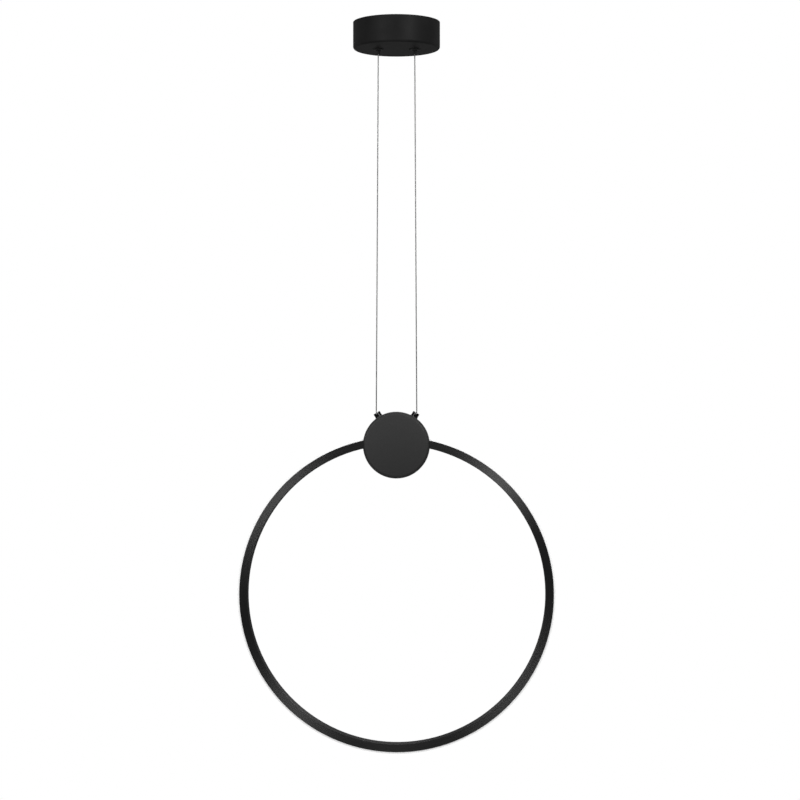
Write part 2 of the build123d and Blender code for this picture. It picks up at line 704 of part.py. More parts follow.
def build_wire(name, side):
    """One suspension wire in its three stretches, with the ferrule at its upper end."""
    x = side * GRIPPER_X
    leaves = Vector(x, 0, EXIT_Z)
    kink = anchor_point(side, KINK_REACH)
    end_ball = anchor_point(side, END_BALL_REACH)
    tail_end = DRIVER_FRONT + DRIVER_PORT_DEPTH - END_GAP

    with BuildPart() as wire_tail:
        with BuildLine() as route:
            FilletPolyline((x, 0, TAIL_LOW_Z), (x, 0, TAIL_Z), (x, tail_end, TAIL_Z), radius=TAIL_BEND_R)
        with BuildSketch(level(TAIL_LOW_Z)):
            with Locations((x, 0)):
                Circle(WIRE_R)
        sweep(path=route.wires()[0])
    save(wire_tail, f"wire_tail_{name}")

    with BuildPart() as tail_ferrule:
        with BuildSketch(Plane.XZ.offset(-tail_end)):
            with Locations((x, TAIL_Z)):
                Circle(FERRULE_R)
                Circle(WIRE_R + THREAD_FIT, mode=Mode.SUBTRACT)
        extrude(amount=FERRULE_L)
    save(tail_ferrule, f"tail_ferrule_{name}")

    with BuildPart() as wire:
        with BuildSketch(Plane(origin=leaves, z_dir=kink - leaves)):
            Circle(WIRE_R)
        extrude(amount=(kink - leaves).length - WIRE_R - END_GAP)
        with Locations(leaves):
            Sphere(WIRE_R)
    save(wire, f"wire_{name}")

    with BuildPart() as wire_end:
        with BuildSketch(Plane(origin=end_ball, z_dir=kink - end_ball)):
            Circle(WIRE_R)
        extrude(amount=KINK_REACH - END_BALL_REACH)
        with Locations(kink):
            Sphere(WIRE_R)
        with Locations(end_ball):
            Sphere(END_BALL_R)
    save(wire_end, f"wire_end_{name}")


def build_anchor(name, side):
    """Slotted barrel that takes the wire's ball from behind, with its bush, washer, tag and nut."""
    plane = anchor_section(side)
    axis = Axis(anchor_point(side, 0), spoke(side * ANCHOR_ANGLE))

    with BuildPart() as wire_anchor:
        revolve(
            outline(
                plane,
                [
                    (0, STEM_END_REACH),
                    (ANCHOR_STEM_R, STEM_END_REACH),
                    (ANCHOR_STEM_R, SHOULDER_REACH),
                    (ANCHOR_R, SHOULDER_REACH),
                    (ANCHOR_R, ANCHOR_REACH - ANCHOR_CHAMFER),
                    (ANCHOR_R - ANCHOR_CHAMFER, ANCHOR_REACH),
                    (0, ANCHOR_REACH),
                ],
            ),
            axis=axis,
        )
        slot_h = ANCHOR_REACH + CUT - END_BALL_REACH
        with BuildSketch(plane):
            with Locations((0, END_BALL_REACH + slot_h / 2)):
                Rectangle(ANCHOR_SLOT_W, slot_h)
            with Locations((0, END_BALL_REACH)):
                Circle(ANCHOR_SLOT_W / 2)
        extrude(amount=ANCHOR_R + CUT, both=True, mode=Mode.SUBTRACT)
        with BuildSketch(plane.offset(POCKET_R)):
            with Locations((0, END_BALL_REACH)):
                Circle(POCKET_R)
        extrude(amount=-POCKET_R - ANCHOR_R - CUT, mode=Mode.SUBTRACT)
    save(wire_anchor, f"wire_anchor_{name}")

    with BuildPart() as anchor_bush:
        revolve(
            outline(
                plane,
                [
                    (ANCHOR_HOLE_R, PAD_REACH),
                    (BUSH_SLEEVE_D / 2, PAD_REACH),
                    (BUSH_SLEEVE_D / 2, SPOT_REACH),
                    (BUSH_FLANGE_D / 2, SPOT_REACH),
                    (BUSH_FLANGE_D / 2, SHOULDER_REACH),
                    (ANCHOR_HOLE_R, SHOULDER_REACH),
                ],
            ),
            axis=axis,
        )
    save(anchor_bush, f"anchor_bush_{name}")

    with BuildPart() as anchor_washer:
        with BuildSketch(anchor_spot(side, WASHER_REACH)):
            Circle(WASHER_D / 2)
            Circle(ANCHOR_HOLE_R, mode=Mode.SUBTRACT)
        extrude(amount=WASHER_T)
    save(anchor_washer, f"anchor_washer_{name}")

    with BuildPart() as anchor_tag:
        with BuildSketch(anchor_spot(side, TAG_REACH)):
            Circle(TAG_D / 2)
            with Locations((TAG_TAIL_L / 2, 0)):
                Rectangle(TAG_TAIL_L, TAG_TAIL_W)
            Circle(ANCHOR_HOLE_R, mode=Mode.SUBTRACT)
        extrude(amount=TAG_T)
    save(anchor_tag, f"anchor_tag_{name}")

    with BuildPart() as anchor_nut:
        with BuildSketch(anchor_spot(side, ANCHOR_NUT_REACH)):
            RegularPolygon(ANCHOR_NUT_AF / 2, 6, major_radius=False)
            Circle(ANCHOR_STEM_R + THREAD_FIT, mode=Mode.SUBTRACT)
        extrude(amount=ANCHOR_NUT_H)
    save(anchor_nut, f"anchor_nut_{name}")


for side_name, side_sign in SIDES.items():
    build_gripper(side_name, side_sign)
    build_wire(side_name, side_sign)
    build_anchor(side_name, side_sign)

# Hub shell: a cup with a gently crowned face, open to the rear, notched where the ring enters its rim
with BuildPart() as hub_shell:
    with BuildSketch(hub_face(SPLIT_Y)):
        Circle(HUB_R)
    extrude(amount=SPLIT_Y - HUB_FACE_Y)
    with Locations((0, HUB_FACE_Y + CROWN_R, HUB_Z)):
        Sphere(CROWN_R, mode=Mode.INTERSECT)
    fillet(hub_shell.edges().sort_by(Axis.Y)[0], radius=HUB_EDGE_R)
    with BuildSketch(hub_face(SPLIT_Y)):
        Circle(HUB_IN_R)
    extrude(amount=SPLIT_Y - HUB_INNER_Y, mode=Mode.SUBTRACT)
    inner_corner = hub_shell.edges().filter_by_position(Axis.Y, HUB_INNER_Y - SEAT, HUB_INNER_Y + SEAT)
    fillet(inner_corner, radius=HUB_EDGE_R - HUB_WALL)
    with BuildSketch(hub_face(HUB_INNER_Y)):
        with Locations(*BOSS_POINTS):
            Circle(BOSS_D / 2)
    extrude(amount=HUB_INNER_Y - SPLIT_Y)
    with BuildSketch(hub_face(HUB_INNER_Y)):
        with Locations(*SPLICE_SCREWS):
            Circle(BOSS_D / 2)
    extrude(amount=HUB_INNER_Y + SPLICE_Y)
    for side in SIDES.values():
        with BuildSketch(anchor_spot(side, PAD_REACH)):
            Circle(PAD_D / 2)
        extrude(amount=PAD_T + HUB_WALL / 2)
    revolve(outline(ring_section(-NOTCH_HALF), NOTCH), RING_AXIS, 2 * NOTCH_HALF, mode=Mode.SUBTRACT)
    for side in SIDES.values():
        with BuildSketch(anchor_spot(side, SPOT_REACH)):
            Circle(BUSH_FLANGE_D / 2 + SPOT_GAP)
        extrude(amount=SPOT_DEPTH + CUT, mode=Mode.SUBTRACT)
        with BuildSketch(anchor_spot(side, PAD_REACH - CUT)):
            Circle(BUSH_SLEEVE_D / 2 + THREAD_FIT)
        extrude(amount=SPOT_REACH - PAD_REACH + 2 * CUT, mode=Mode.SUBTRACT)
    with BuildSketch(hub_face(SPLIT_Y)):
        with Locations(*BOSS_POINTS):
            Circle(M3_HOLE_R)
    extrude(amount=M3_LID_L, mode=Mode.SUBTRACT)
    with BuildSketch(hub_face(-SPLICE_Y)):
        with Locations(*SPLICE_SCREWS):
            Circle(M3_HOLE_R)
    extrude(amount=-SPLICE_Y - HUB_INNER_Y, mode=Mode.SUBTRACT)
save(hub_shell, "hub_shell")

# Hub lid: closes the rear and locates inside the rim with a spigot
with BuildPart() as hub_lid:
    with BuildSketch(hub_face(HUB_REAR_Y)):
        Circle(HUB_R)
    extrude(amount=LID_T)
    fillet(hub_lid.edges().sort_by(Axis.Y)[-1], radius=LID_EDGE_R)
    with BuildSketch(hub_face(SPLIT_Y)):
        Circle(HUB_IN_R - FIT)
        Circle(HUB_IN_R - FIT - LID_SPIGOT_T, mode=Mode.SUBTRACT)
    extrude(amount=LID_SPIGOT_L)
    with BuildSketch(hub_face(SPLIT_Y)):
        with Locations(*BOSS_POINTS):
            Circle(BOSS_D / 2 + FIT)
    extrude(amount=LID_SPIGOT_L, mode=Mode.SUBTRACT)
    revolve(
        outline(
            ring_section(-NOTCH_HALF),
            box_points(PROFILE_IN_R - NOTCH_GAP, RING_R + NOTCH_GAP, -RING_Y, SPLIT_Y),
        ),
        RING_AXIS,
        2 * NOTCH_HALF,
        mode=Mode.SUBTRACT,
    )
    with BuildSketch(hub_face(HUB_REAR_Y)):
        with Locations(*BOSS_POINTS):
            Circle(M3_R + FIT)
    extrude(amount=LID_T, mode=Mode.SUBTRACT)
    with BuildSketch(hub_face(HUB_REAR_Y)):
        with Locations(*BOSS_POINTS):
            Circle(M3_HEAD_HOLE_R)
    extrude(amount=M3_HEAD_T, mode=Mode.SUBTRACT)
save(hub_lid, "hub_lid")

with BuildPart() as hub_lid_screws:
    with BuildSketch(hub_face(HUB_REAR_Y)):
        with Locations(*BOSS_POINTS):
            Circle(M3_HEAD_R)
    extrude(amount=M3_HEAD_T)
    with BuildSketch(hub_face(HUB_REAR_Y - M3_HEAD_T)):
        with Locations(*BOSS_POINTS):
            Circle(M3_R)
    extrude(amount=M3_LID_L)
    with BuildSketch(hub_face(HUB_REAR_Y)):
        with Locations(*BOSS_POINTS):
            RegularPolygon(HEX_AF / 2, 6, major_radius=False)
    extrude(amount=HEX_DEPTH, mode=Mode.SUBTRACT)
save(hub_lid_screws, "hub_lid_screws")

# Splice under the ring's two ends, screwed to posts of the hub shell
with BuildPart() as ring_splice:
    revolve(
        outline(ring_section(-SPLICE_HALF), box_points(SPLICE_IN_R, SPLICE_OUT_R, -SPLICE_Y, SPLICE_Y)),
        RING_AXIS,
        2 * SPLICE_HALF,
    )
    with BuildSketch(hub_face(SPLICE_Y + CUT)):
        with Locations(*SPLICE_SCREWS):
            Circle(M3_R + FIT)
    extrude(amount=SPLICE_W + 2 * CUT, mode=Mode.SUBTRACT)
    for angle in RING_SCREW_ANGLES:
        with BuildSketch(ring_spot(angle, SPLICE_IN_R - CUT)):
            Circle(M3_R + FIT)
        extrude(amount=SPLICE_H + 2 * CUT, mode=Mode.SUBTRACT)
save(ring_splice, "ring_splice")

with BuildPart() as splice_screws:
    with BuildSketch(hub_face(SPLICE_Y)):
        with Locations(*SPLICE_SCREWS):
            Circle(M3_HEAD_R)
    extrude(amount=-M3_HEAD_T)
    with BuildSketch(hub_face(SPLICE_Y)):
        with Locations(*SPLICE_SCREWS):
            Circle(M3_R)
    extrude(amount=SPLICE_Y - HUB_INNER_Y - END_GAP)
save(splice_screws, "splice_screws")

with BuildPart() as ring_screws:
    for angle in RING_SCREW_ANGLES:
        with BuildSketch(ring_spot(angle, SPLICE_IN_R - SEAT - M3_HEAD_T)):
            Circle(M3_HEAD_R)
        extrude(amount=M3_HEAD_T)
        with BuildSketch(ring_spot(angle, SPLICE_IN_R - SEAT)):
            Circle(M3_R)
        extrude(amount=SPLICE_H + SEAT + CURVE_SEAT + PROFILE_WALL - FIT)
save(ring_screws, "ring_screws")

# Terminal block in the hub, between the wire anchors' tags and the LED strip
with BuildPart() as hub_terminal_block:
    with BuildSketch(hub_face(HUB_INNER_Y)):
        with Locations((0, -HUB_TERM_DROP)):
            Rectangle(HUB_TERM_L, HUB_TERM_H)
    extrude(amount=-HUB_TERM_T)
    with BuildSketch(Plane.XY.offset(HUB_Z - HUB_TERM_DROP)):
        with Locations(*[(x, HUB_INNER_Y + HUB_TERM_T / 2) for x in HUB_TERM_XS]):
            Circle(HUB_TERM_BORE_D / 2)
    extrude(amount=HUB_TERM_H, both=True, mode=Mode.SUBTRACT)
    with BuildSketch(hub_face(HUB_INNER_Y + HUB_TERM_T)):
        with Locations(*[(x, -HUB_TERM_DROP) for x in HUB_TERM_XS]):
            Circle(TERM_SCREW_D / 2 + FIT)
    extrude(amount=HUB_TERM_T / 2, mode=Mode.SUBTRACT)
save(hub_terminal_block, "hub_terminal_block")

with BuildPart() as hub_terminal_screws:
    with BuildSketch(hub_face(HUB_INNER_Y + HUB_TERM_T - TERM_SCREW_SINK)):
        with Locations(*[(x, -HUB_TERM_DROP) for x in HUB_TERM_XS]):
            Circle(TERM_SCREW_D / 2)
    extrude(amount=HUB_TERM_T / 2 - TERM_SCREW_SINK - END_GAP)
save(hub_terminal_screws, "hub_terminal_screws")

# Ring profile: a U channel rolled to a circle, with a snap bead inside each lip
BEAD_R0 = PROFILE_OUT_R - BEAD_SINK - BEAD_W
BEAD_R1 = PROFILE_OUT_R - BEAD_SINK
with BuildPart() as ring_profile:
    revolve(
        outline(
            ring_section(GAP_HALF),
            [
                (PROFILE_IN_R, -RING_Y),
                (PROFILE_OUT_R, -RING_Y),
                (PROFILE_OUT_R, -CHANNEL_Y),
                (BEAD_R1, -CHANNEL_Y),
                (BEAD_R1, -CHANNEL_Y + BEAD_H),
                (BEAD_R0, -CHANNEL_Y + BEAD_H),
                (BEAD_R0, -CHANNEL_Y),
                (CHANNEL_R, -CHANNEL_Y),
                (CHANNEL_R, CHANNEL_Y),
                (BEAD_R0, CHANNEL_Y),
                (BEAD_R0, CHANNEL_Y - BEAD_H),
                (BEAD_R1, CHANNEL_Y - BEAD_H),
                (BEAD_R1, CHANNEL_Y),
                (PROFILE_OUT_R, CHANNEL_Y),
                (PROFILE_OUT_R, RING_Y),
                (PROFILE_IN_R, RING_Y),
            ],
            round_at=(0, 1, 14, 15),
            radius=PROFILE_EDGE_R,
        ),
        RING_AXIS,
        FULL_TURN - 2 * GAP_HALF,
    )
    for angle in RING_SCREW_ANGLES:
        with BuildSketch(ring_spot(angle, PROFILE_IN_R - CUT)):
            Circle(M3_HOLE_R)
        extrude(amount=PROFILE_WALL + 2 * CUT, mode=Mode.SUBTRACT)
save(ring_profile, "ring_profile")

# Diffuser: an opal strip whose grooves snap over the profile's beads
DIFFUSER_Y = CHANNEL_Y - FIT
DIFFUSER_LOW_R = PROFILE_OUT_R - DIFFUSER_LEG_L
GROOVE_Y = CHANNEL_Y - BEAD_H - FIT
DIFFUSER_IN_Y = DIFFUSER_Y - DIFFUSER_LEG_T
DIFFUSER_IN_R = RING_R - DIFFUSER_SKIN
with BuildPart() as ring_diffuser:
    revolve(
        outline(
            ring_section(GAP_HALF),
            [
                (RING_R, -DIFFUSER_Y),
                (RING_R, DIFFUSER_Y),
                (BEAD_R1 + CURVE_SEAT, DIFFUSER_Y),
                (BEAD_R1 + CURVE_SEAT, GROOVE_Y),
                (BEAD_R0 - CURVE_SEAT, GROOVE_Y),
                (BEAD_R0 - CURVE_SEAT, DIFFUSER_Y),
                (DIFFUSER_LOW_R, DIFFUSER_Y),
                (DIFFUSER_LOW_R, DIFFUSER_IN_Y),
                (DIFFUSER_IN_R, DIFFUSER_IN_Y),
                (DIFFUSER_IN_R, -DIFFUSER_IN_Y),
                (DIFFUSER_LOW_R, -DIFFUSER_IN_Y),
                (DIFFUSER_LOW_R, -DIFFUSER_Y),
                (BEAD_R0 - CURVE_SEAT, -DIFFUSER_Y),
                (BEAD_R0 - CURVE_SEAT, -GROOVE_Y),
                (BEAD_R1 + CURVE_SEAT, -GROOVE_Y),
                (BEAD_R1 + CURVE_SEAT, -DIFFUSER_Y),
            ],
            round_at=(0, 1),
            radius=DIFFUSER_EDGE_R,
        ),
        RING_AXIS,
        FULL_TURN - 2 * GAP_HALF,
    )
save(ring_diffuser, "ring_diffuser")

# LED strip on the channel's floor, and its LEDs
with BuildPart() as led_strip:
    revolve(
        outline(
            ring_section(STRIP_HALF),
            box_points(STRIP_R, STRIP_R + STRIP_T, -STRIP_W / 2, STRIP_W / 2),
        ),
        RING_AXIS,
        FULL_TURN - 2 * STRIP_HALF,
    )
save(led_strip, "led_strip")

LED_STEP = math.degrees(LED_PITCH / STRIP_R)
LED_COUNT = int((FULL_TURN - 2 * STRIP_HALF) / LED_STEP)
with BuildPart() as led_chips:
    for i in range(LED_COUNT):
        angle = (FULL_TURN + (2 * i + 1 - LED_COUNT) * LED_STEP) / 2
        with BuildSketch(ring_spot(angle, STRIP_R + STRIP_T + SEAT)):
            Rectangle(LED_SIDE, LED_SIDE)
    extrude(amount=LED_H)
save(led_chips, "led_chips")
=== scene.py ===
import json
import math

import bmesh
import bpy
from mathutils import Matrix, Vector


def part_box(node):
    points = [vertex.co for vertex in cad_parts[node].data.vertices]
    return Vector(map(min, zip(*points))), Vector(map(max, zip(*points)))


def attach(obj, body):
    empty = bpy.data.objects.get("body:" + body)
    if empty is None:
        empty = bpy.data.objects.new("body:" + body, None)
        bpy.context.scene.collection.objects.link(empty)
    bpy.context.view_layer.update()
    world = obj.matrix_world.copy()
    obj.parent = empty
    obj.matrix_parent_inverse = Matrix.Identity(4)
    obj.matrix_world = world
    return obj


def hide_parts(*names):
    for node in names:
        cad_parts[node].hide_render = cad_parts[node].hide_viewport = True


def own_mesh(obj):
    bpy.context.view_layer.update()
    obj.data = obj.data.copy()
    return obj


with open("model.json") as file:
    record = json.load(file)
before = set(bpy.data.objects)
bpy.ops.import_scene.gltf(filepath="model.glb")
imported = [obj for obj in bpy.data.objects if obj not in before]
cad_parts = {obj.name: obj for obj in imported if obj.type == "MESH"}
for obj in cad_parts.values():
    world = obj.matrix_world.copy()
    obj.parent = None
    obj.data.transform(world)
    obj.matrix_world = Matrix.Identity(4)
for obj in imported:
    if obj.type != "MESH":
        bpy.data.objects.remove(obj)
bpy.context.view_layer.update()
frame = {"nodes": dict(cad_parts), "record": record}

# Places read from the frame, in metres
RING_LOW, RING_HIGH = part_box("ring_profile")
RING_CENTRE_Z = RING_LOW.z + (RING_HIGH.x - RING_LOW.x) / 2
SIDES = {"left": -1, "right": 1}

# Suspension wires: control points of the right one's route, and the strands that show on its surface
WIRE_D = 0.0015
WIRE_TOP = Vector((0.0231, 0, -0.0405))
WIRE_UPPER = Vector((0.02315, 0, -0.0495))
WIRE_LOWER = Vector((0.02549, 0, -0.48385))
WIRE_FOOT = Vector((0.02554, 0, -0.49285))
STRANDS = 6
WIRE_SIDES = 4 * STRANDS
STRAND_LAY = 0.012
FURROW = 0.00008
ROUTE_STEPS = 240

# Finishes: where a noise's values mostly lie, scales per metre, a depth in metres, and tints
NOISE_LOW = 0.3
NOISE_HIGH = 0.7
GRAIN = 500
CLOUD = GRAIN / 8
FINE_GRAIN = GRAIN * 2
GRAIN_DEPTH = 0.00002
WHITE = (1.0, 1.0, 1.0)
ZINC_TINT = (0.985, 1.0, 1.015)

# Metres that the ring's lines drift for each radian round it
STREAK_RUN = 0.004

# Camera
CAMERA_PLACE = Vector((0.065, -2.690, -0.523))
CAMERA_AIM = Vector((0.0044, 0, -0.4781))
LENS = 95.9
VIEW_REACH = 200.0

# Studio: where the lamps aim, the floor and its fade into white, and the light from all round
STAGE_CENTRE = Vector((0, 0, -0.46))
FLOOR_Z = -2.4
FLOOR_SIZE = 60.0
FLOOR_GREY = 0.85
FLOOR_ROUGHNESS = 0.9
FLOOR_NEAR = 1.5
FLOOR_FAR = 3.0
FLOOR_PALE = 0.55
AMBIENT = 0.28

# In a gloss the room is dim to the front; its sky and floor are white from this far to the rear
ROOM = 0.12
SKY_WHITE_FROM = 0.8
FLOOR_WHITE_FROM = 4.0


def add(name, data):
    """New object in the scene."""
    made = bpy.data.objects.new(name, data)
    bpy.context.scene.collection.objects.link(made)
    return made


def link(tree, source, target):
    tree.links.new(source, target)


def node(tree, kind, **values):
    """New shader node with its properties and the values of its named inputs."""
    made = tree.nodes.new(kind)
    for key, value in values.items():
        if hasattr(made, key):
            setattr(made, key, value)
        else:
            made.inputs[key.replace("_", " ")].default_value = value
    return made


def sums(tree, operation, *operands):
    """Result of a maths node; each operand is a socket or a number."""
    made = node(tree, "ShaderNodeMath", operation=operation)
    for slot, operand in zip(made.inputs, operands):
        if isinstance(operand, (int, float)):
            slot.default_value = operand
        else:
            link(tree, operand, slot)
    return made.outputs[0]


def split(tree, vector):
    """The X, Y and Z sockets of a vector socket."""
    made = tree.nodes.new("ShaderNodeSeparateXYZ")
    link(tree, vector, made.inputs["Vector"])
    return made.outputs


def tone(value, tint=WHITE):
    """Colour of a socket: a grey, or a tint made darker or paler."""
    return (value * tint[0], value * tint[1], value * tint[2], 1.0)


class Finish:
    """Principled material with helpers that vary its plain colour and roughness and add relief."""

    def __init__(self, name, colour, roughness, **sockets):
        self.material = bpy.data.materials.new(name)
        self.material.use_nodes = True
        self.tree = self.material.node_tree
        self.shader = self.tree.nodes["Principled BSDF"]
        self.shader.inputs["Base Color"].default_value = colour
        self.shader.inputs["Roughness"].default_value = roughness
        for key, value in sockets.items():
            self.shader.inputs[key.replace("_", " ")].default_value = value
        coordinates = self.tree.nodes.new("ShaderNodeTexCoord")
        self.place = coordinates.outputs["Object"]
        self.unwrapped = coordinates.outputs["UV"]

    def drawn_out(self, place, scale):
        """Coordinates for lines: a pattern that is finer along some axes than along others."""
        made = node(self.tree, "ShaderNodeMapping", Scale=scale)
        link(self.tree, place, made.inputs["Vector"])
        return made.outputs["Vector"]

    def noise(self, scale, detail=2.0, place=None):
        made = node(self.tree, "ShaderNodeTexNoise", Scale=scale, Detail=detail)
        link(self.tree, place or self.place, made.inputs["Vector"])
        return made.outputs["Fac"]

    def colours(self, fac, low, high):
        """Base colour that runs from low to high with a 0 to 1 socket."""
        ramp = self.tree.nodes.new("ShaderNodeValToRGB")
        first, last = ramp.color_ramp.elements
        first.position = NOISE_LOW
        first.color = low
        last.position = NOISE_HIGH
        last.color = high
        link(self.tree, fac, ramp.inputs["Fac"])
        link(self.tree, ramp.outputs["Color"], self.shader.inputs["Base Color"])

    def roughness(self, fac, low, high):
        span = node(self.tree, "ShaderNodeMapRange", From_Min=NOISE_LOW, From_Max=NOISE_HIGH)
        span.inputs["To Min"].default_value = low
        span.inputs["To Max"].default_value = high
        link(self.tree, fac, span.inputs["Value"])
        link(self.tree, span.outputs["Result"], self.shader.inputs["Roughness"])

    def relief(self, fac, depth, strength):
        """Bumps of a depth in metres; gives back their normal."""
        bump = node(self.tree, "ShaderNodeBump", Distance=depth, Strength=strength)
        link(self.tree, fac, bump.inputs["Height"])
        link(self.tree, bump.outputs["Normal"], self.shader.inputs["Normal"])
        return bump.outputs["Normal"]


def satin_paint():
    """Canopy: sprayed satin black with a faint orange peel."""
    finish = Finish(
        "canopy_black",
        colour=tone(0.0140),
        roughness=0.5,
        Specular_IOR_Level=0.0,
        Coat_Weight=0.095,
        Coat_Roughness=0.46,
    )
    finish.colours(finish.noise(scale=60), low=tone(0.0125), high=tone(0.0155))
    finish.roughness(finish.noise(scale=400, detail=4), low=0.45, high=0.55)
    peel = finish.relief(finish.noise(scale=900), depth=0.00002, strength=0.4)
    link(finish.tree, peel, finish.shader.inputs["Coat Normal"])
    return finish.material


def powder_coat():
    """Hub: matte black powder coat with its fine pebbled skin."""
    finish = Finish("hub_black", colour=tone(0.0185), roughness=0.60, Specular_IOR_Level=0.45)
    finish.colours(finish.noise(scale=1400, detail=3), low=tone(0.016), high=tone(0.021))
    finish.roughness(finish.noise(scale=500, detail=3), low=0.54, high=0.66)
    finish.relief(finish.noise(scale=2200), depth=0.00006, strength=0.6)
    return finish.material


def round_the_ring(finish):
    """Coordinates for lines along the ring: radius, depth and a slow run with the angle."""
    tree = finish.tree
    across, depth, height = split(tree, finish.place)
    up = sums(tree, "SUBTRACT", height, RING_CENTRE_Z)
    squares = sums(tree, "ADD", sums(tree, "MULTIPLY", across, across), sums(tree, "MULTIPLY", up, up))
    made = tree.nodes.new("ShaderNodeCombineXYZ")
    link(tree, sums(tree, "SQRT", squares), made.inputs["X"])
    link(tree, depth, made.inputs["Y"])
    link(tree, sums(tree, "MULTIPLY", sums(tree, "ARCTAN2", across, up), STREAK_RUN), made.inputs["Z"])
    return made.outputs["Vector"]


def rolled_satin():
    """Ring: satin black with fine lines that run round the ring and spread its highlights."""
    finish = Finish(
        "ring_black",
        colour=tone(0.080),
        roughness=0.48,
        Metallic=1.0,
        Specular_Tint=tone(0.15),
        Anisotropic=0.92,
        Anisotropic_Rotation=0.25,
    )
    streaks = finish.noise(scale=2600, detail=3, place=round_the_ring(finish))
    finish.colours(streaks, low=tone(0.070), high=tone(0.090))
    finish.roughness(streaks, low=0.44, high=0.52)
    finish.relief(streaks, depth=0.000006, strength=0.4)
    around = node(finish.tree, "ShaderNodeTangent", direction_type="RADIAL", axis="Y")
    link(finish.tree, around.outputs["Tangent"], finish.shader.inputs["Tangent"])
    return finish.material


def gloss_plating():
    """Anchors: polished black plating."""
    finish = Finish(
        "fitting_black",
        colour=tone(0.005),
        roughness=0.4,
        Specular_IOR_Level=0.0,
        Coat_Weight=0.3,
        Coat_Roughness=0.14,
    )
    finish.colours(finish.noise(scale=300), low=tone(0.003), high=tone(0.007))
    finish.roughness(finish.noise(scale=800, detail=4), low=0.35, high=0.45)
    finish.relief(finish.noise(scale=1200), depth=0.00001, strength=0.2)
    return finish.material


def satin_plating():
    """Grippers: satin black plating with turned lines round them."""
    finish = Finish(
        "gripper_black",
        colour=tone(0.034),
        roughness=0.5,
        Specular_IOR_Level=0.0,
        Coat_Weight=0.05,
        Coat_Roughness=0.3,
    )
    turned = finish.noise(scale=900, detail=3, place=finish.drawn_out(finish.place, (1, 1, 12)))
    finish.colours(turned, low=tone(0.030), high=tone(0.038))
    finish.roughness(turned, low=0.45, high=0.55)
    finish.relief(turned, depth=0.00001, strength=0.2)
    return finish.material


def laid_steel():
    """Wires: drawn steel with painted shade in the furrows between the strands, and fine lines along
    them.
    """
    finish = Finish("wire_steel", colour=tone(0.27), roughness=0.36, Metallic=1.0)
    tree = finish.tree
    around = split(tree, finish.unwrapped)["X"]
    furrow_shade_wave = sums(tree, "SINE", sums(tree, "MULTIPLY", around, math.pi * STRANDS))
    # Painted shade: the base colour darkens in the furrows between the strands, where shade falls.
    finish.colours(sums(tree, "ABSOLUTE", furrow_shade_wave), low=tone(0.13), high=tone(0.29))
    drawn = finish.noise(scale=1, detail=3, place=finish.drawn_out(finish.unwrapped, (60, 50, 1)))
    finish.roughness(drawn, low=0.32, high=0.42)
    finish.relief(drawn, depth=0.000003, strength=0.3)
    return finish.material


def rolled_zinc():
    """Ceiling plate: zinc on rolled sheet steel, with faint lines along it."""
    finish = Finish("zinc_plate", colour=tone(0.56, ZINC_TINT), roughness=0.74, Metallic=1.0)
    rolled = finish.noise(scale=60, detail=4, place=finish.drawn_out(finish.place, (1, 20, 20)))
    finish.colours(rolled, low=tone(0.51, ZINC_TINT), high=tone(0.61, ZINC_TINT))
    finish.roughness(finish.noise(scale=150, detail=3), low=0.69, high=0.79)
    finish.relief(rolled, depth=0.000004, strength=0.4)
    return finish.material


def opal():
    """Diffuser: satin opal acrylic, lit a little from within."""
    finish = Finish(
        "opal_diffuser",
        colour=tone(0.66),
        roughness=0.38,
        Specular_IOR_Level=0.4,
        Emission_Color=tone(1.0),
        Emission_Strength=0.42,
    )
    finish.colours(finish.noise(scale=40), low=tone(0.64), high=tone(0.68))
    finish.roughness(finish.noise(scale=700, detail=3), low=0.34, high=0.44)
    finish.relief(finish.noise(scale=3000), depth=0.000004, strength=0.3)
    return finish.material


def plain(name, colour, roughness, swing=0.12, **sockets):
    """Finish with a slight cloud in its colour, a swing in its roughness and a shallow grain."""
    finish = Finish(name, tone(1.0, colour), roughness, **sockets)
    less = 1 - swing
    more = 1 + swing
    cloud = finish.noise(scale=CLOUD, detail=3)
    finish.colours(cloud, low=tone(less, colour), high=tone(more, colour))
    finish.roughness(finish.noise(scale=GRAIN, detail=4), low=roughness * less, high=roughness * more)
    finish.relief(finish.noise(scale=FINE_GRAIN), depth=GRAIN_DEPTH, strength=0.4)
    return finish.material


FINISHES = {
    "canopy_black": satin_paint(),
    "hub_black": powder_coat(),
    "ring_black": rolled_satin(),
    "fitting_black": gloss_plating(),
    "gripper_black": satin_plating(),
    "opal_diffuser": opal(),
    "wire_steel": laid_steel(),
    "zinc_plate": rolled_zinc(),
    "black_screw": plain("black_screw", (0.015, 0.015, 0.016), 0.42, Specular_IOR_Level=0.3),
    "steel_screw": plain("steel_screw", (0.60, 0.60, 0.61), 0.30, Metallic=1.0),
    "brass": plain("brass", (0.72, 0.52, 0.24), 0.32, Metallic=1.0),
    "plain_aluminium": plain("plain_aluminium", (0.70, 0.71, 0.72), 0.40, Metallic=1.0),
    "black_rubber": plain("black_rubber", (0.02, 0.02, 0.02), 0.75),
    "black_nylon": plain("black_nylon", (0.02, 0.02, 0.02), 0.55),
    "driver_white": plain("driver_white", (0.80, 0.80, 0.78), 0.50, swing=0.04),
    "terminal_white": plain("terminal_white", (0.84, 0.84, 0.80), 0.42, swing=0.04),
    "strip_white": plain("strip_white", (0.86, 0.86, 0.84), 0.40, swing=0.04),
    "led_phosphor": plain("led_phosphor", (0.85, 0.70, 0.25), 0.30, swing=0.05),
}


def dress_nodes():
    """Puts each CAD node in the finish that the record names for it."""
    for row in frame["record"]["subparts"]:
        mesh = frame["nodes"][row["node"]].data
        mesh.materials.clear()
        mesh.materials.append(FINISHES[row["material_slot"]])


